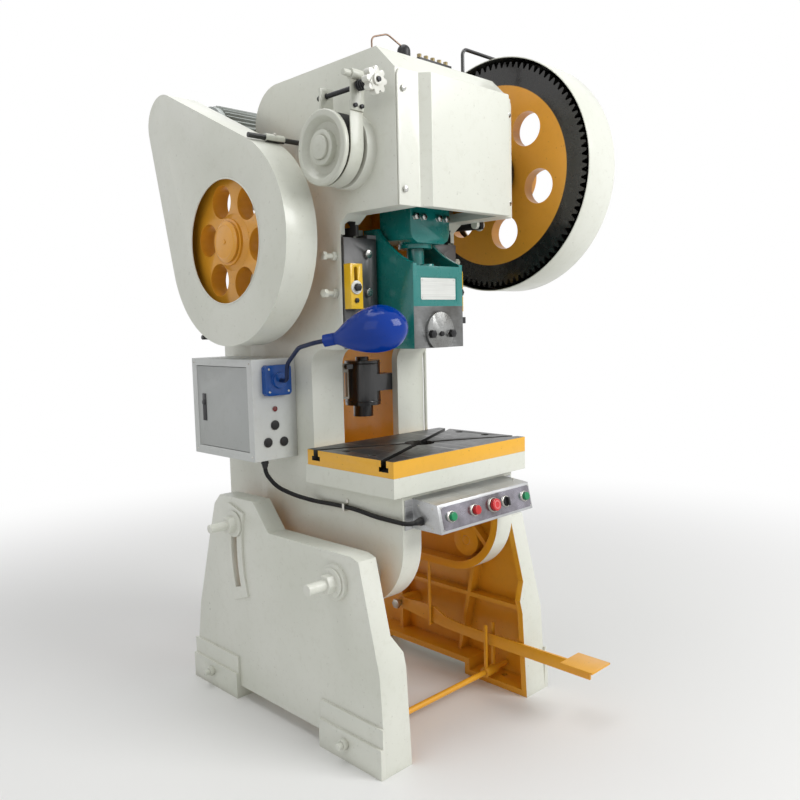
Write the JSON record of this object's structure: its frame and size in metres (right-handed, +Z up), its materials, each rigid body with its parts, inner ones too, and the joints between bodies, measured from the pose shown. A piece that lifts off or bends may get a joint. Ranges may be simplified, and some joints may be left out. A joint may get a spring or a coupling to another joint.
{
  "type": "inclinable power press",
  "caption": "Open-back inclinable crank press: C-frame on bolted legs, geared flywheel drive, crank, slide, T-slot bolster, pedal and lamp.",
  "frame": {"origin": "centre of the four foundation bolt holes, on the floor plane under the feet", "axes": "+X to the operator's right as they face the press, -Y towards the operator, +Y to the rear, +Z up"},
  "size_m": [1.058, 1.418, 2.246],
  "materials": {
    "cream_paint": "semi-gloss enamel",
    "yellow_paint": "semi-gloss enamel",
    "teal_paint": "gloss enamel",
    "blue_paint": "gloss enamel",
    "black_paint": "semi-gloss enamel",
    "grey_paint": "powder coat",
    "zinc_steel": "zinc plated",
    "bright_steel": "machined",
    "bright_iron": "turned",
    "cast_iron": "machined",
    "dark_steel": "blackened",
    "bronze": "machined",
    "stainless": "brushed sheet",
    "rubber": "matt",
    "black_plastic": "matt",
    "blue_plastic": "moulded",
    "green_plastic": "moulded",
    "red_plastic": "moulded"
  },
  "bodies": {
    "stand": {"left_leg": "cream_paint", "right_leg": "cream_paint", "tie_rods": "yellow_paint", "pivot_bolts": "zinc_steel", "pedal_fork": "yellow_paint", "pedal_pin": "zinc_steel"},
    "press": {"frame": "cream_paint", "slot_bolts": "zinc_steel", "bolster_plate": "yellow_paint", "cap_screws": "dark_steel", "front_cover": "cream_paint", "left_gib": "cast_iron", "right_gib": "cast_iron", "gib_adjusters": "zinc_steel", "knockout_stops": "yellow_paint", "brake_band": "cream_paint", "band_bracket": "cream_paint", "tension_rod": "dark_steel", "brake_spring": "dark_steel", "bearing_bushes": "bronze", "v_belts": "rubber", "motor": "grey_paint", "motor_bracket": "cream_paint", "belt_guard": "cream_paint", "gear_guard": "cream_paint", "guard_stays": "dark_steel", "e_box": "grey_paint", "contactor_plate": "black_plastic", "e_box_grommets": "black_plastic", "lamp_socket": "blue_plastic", "control_box": "stainless", "panel_cable": "rubber", "cable_clip": "zinc_steel", "oil_distributor": "dark_steel", "lubricator": "black_paint"},
    "crank": {"crankshaft": "bright_steel", "brake_drum": "bright_iron", "clutch_sleeve": "dark_steel"},
    "bull_gear": {"bull_gear": "yellow_paint"},
    "countershaft": {"pinion_shaft": "bright_steel", "flywheel": "yellow_paint"},
    "motor_pulley": {"motor_pulley": "cast_iron"},
    "connecting_rod": {"connecting_rod": "teal_paint", "ball_screw": "bright_steel"},
    "slide": {"slide": "teal_paint", "shank_cap": "bright_steel"},
    "knockout_bar": {"knockout_bar": "dark_steel"},
    "e_box_door": {"e_box_door": "grey_paint"},
    "lamp": {"lamp_arm": "black_plastic", "lamp_shade": "blue_paint"},
    "star_knob": {"star_knob": "cream_paint"},
    "pedal": {"pedal_lever": "yellow_paint"},
    "pull_rod": {"pull_rod": "yellow_paint"},
    "trip_lever": {"trip_lever": "dark_steel"},
    "jog_button": {"jog_button": "green_plastic"},
    "stop_button": {"stop_button": "red_plastic"},
    "emergency_button": {"emergency_button": "red_plastic"},
    "run_button": {"run_button": "green_plastic"},
    "selector_switch": {"selector_switch": "black_plastic"},
    "pump_lever": {"pump_lever": "black_paint"}
  },
  "joints": [
    {"name": "body_tilt", "type": "hinge", "parent": "stand", "child": "press", "pos_m": [0, -0.317, 0.547], "axis": [-1, 0, 0], "range_deg": [0, 14]},
    {"name": "bull_gear_spin", "type": "hinge", "parent": "press", "child": "bull_gear", "pos_m": [0.462, -0.297, 1.83], "axis": [1, 0, 0], "continuous": true},
    {"name": "flywheel_spin", "type": "hinge", "parent": "press", "child": "countershaft", "pos_m": [0, 0.11523, 1.592], "axis": [1, 0, 0], "continuous": true},
    {"name": "motor_spin", "type": "hinge", "parent": "press", "child": "motor_pulley", "pos_m": [-0.4, 0.473, 2.022], "axis": [1, 0, 0], "continuous": true},
    {"name": "crank_turn", "type": "hinge", "parent": "press", "child": "crank", "pos_m": [0, -0.297, 1.83], "axis": [-1, 0, 0], "range_deg": [0, 180]},
    {"name": "rod_swing", "type": "hinge", "parent": "crank", "child": "connecting_rod", "pos_m": [0, -0.297, 1.88], "axis": [-1, 0, 0], "range_deg": [-180, 0]},
    {"name": "slide_stroke", "type": "slide", "parent": "press", "child": "slide", "axis": [0, 0, -1], "range_m": [0, 0.1]},
    {"name": "knockout_lift", "type": "slide", "parent": "slide", "child": "knockout_bar", "axis": [0, 0, 1], "range_m": [0, 0.016]},
    {"name": "door_swing", "type": "hinge", "parent": "press", "child": "e_box_door", "pos_m": [-0.4358, 0.0538, 1.047], "axis": [0, 0, 1], "range_deg": [0, 110]},
    {"name": "lamp_swivel", "type": "hinge", "parent": "press", "child": "lamp", "pos_m": [-0.348, -0.013, 1.142], "axis": [0, -1, 0], "range_deg": [0, 60]},
    {"name": "knob_turn", "type": "hinge", "parent": "press", "child": "star_knob", "pos_m": [-0.336, -0.497, 1.985], "axis": [0, 1, 0], "continuous": true},
    {"name": "pedal_press", "type": "hinge", "parent": "stand", "child": "pedal", "pos_m": [0.281, 0.098, 0.2], "axis": [1, 0, 0], "range_deg": [0, 8], "stiffness_Nm_per_rad": 40, "springref_deg": -40.11},
    {"name": "pull_rod_drop", "type": "slide", "parent": "press", "child": "pull_rod", "axis": [0, 0, -1], "range_m": [0, 0.025]},
    {"name": "trip_swing", "type": "hinge", "parent": "press", "child": "trip_lever", "pos_m": [0.282, -0.327, 1.65], "axis": [-1, 0, 0], "range_deg": [0, 6]},
    {"name": "pump_swing", "type": "hinge", "parent": "press", "child": "pump_lever", "pos_m": [-0.043, 0.025, 1.168], "axis": [0, 1, 0], "range_deg": [0, 60]},
    {"name": "selector_turn", "type": "hinge", "parent": "press", "child": "selector_switch", "pos_m": [0.089, -0.58616, 0.747], "axis": [0, -0.9759, 0.2181], "range_deg": [-45, 45]},
    {"name": "jog_press", "type": "slide", "parent": "press", "child": "jog_button", "axis": [0, 0.9759, -0.2181], "range_m": [0, 0.004], "stiffness_N_per_m": 600, "springref_m": -0.003},
    {"name": "stop_press", "type": "slide", "parent": "press", "child": "stop_button", "axis": [0, 0.9759, -0.2181], "range_m": [0, 0.004], "stiffness_N_per_m": 600, "springref_m": -0.003},
    {"name": "emergency_press", "type": "slide", "parent": "press", "child": "emergency_button", "axis": [0, 0.9759, -0.2181], "range_m": [0, 0.004], "stiffness_N_per_m": 600, "springref_m": -0.003},
    {"name": "run_press", "type": "slide", "parent": "press", "child": "run_button", "axis": [0, 0.9759, -0.2181], "range_m": [0, 0.004], "stiffness_N_per_m": 600, "springref_m": -0.003}
  ],
  "couplings": [
    {"joint": "flywheel_spin", "follows": "bull_gear_spin", "ratio": -3.9583},
    {"joint": "motor_spin", "follows": "bull_gear_spin", "ratio": -23.75},
    {"joint": "rod_swing", "follows": "crank_turn", "ratio": -1},
    {"joint": "slide_stroke", "follows": "crank_turn", "m_per_rad": 0.031831},
    {"joint": "pull_rod_drop", "follows": "pedal_press", "m_per_rad": 0.174},
    {"joint": "trip_swing", "follows": "pedal_press", "ratio": 0.68}
  ]
}
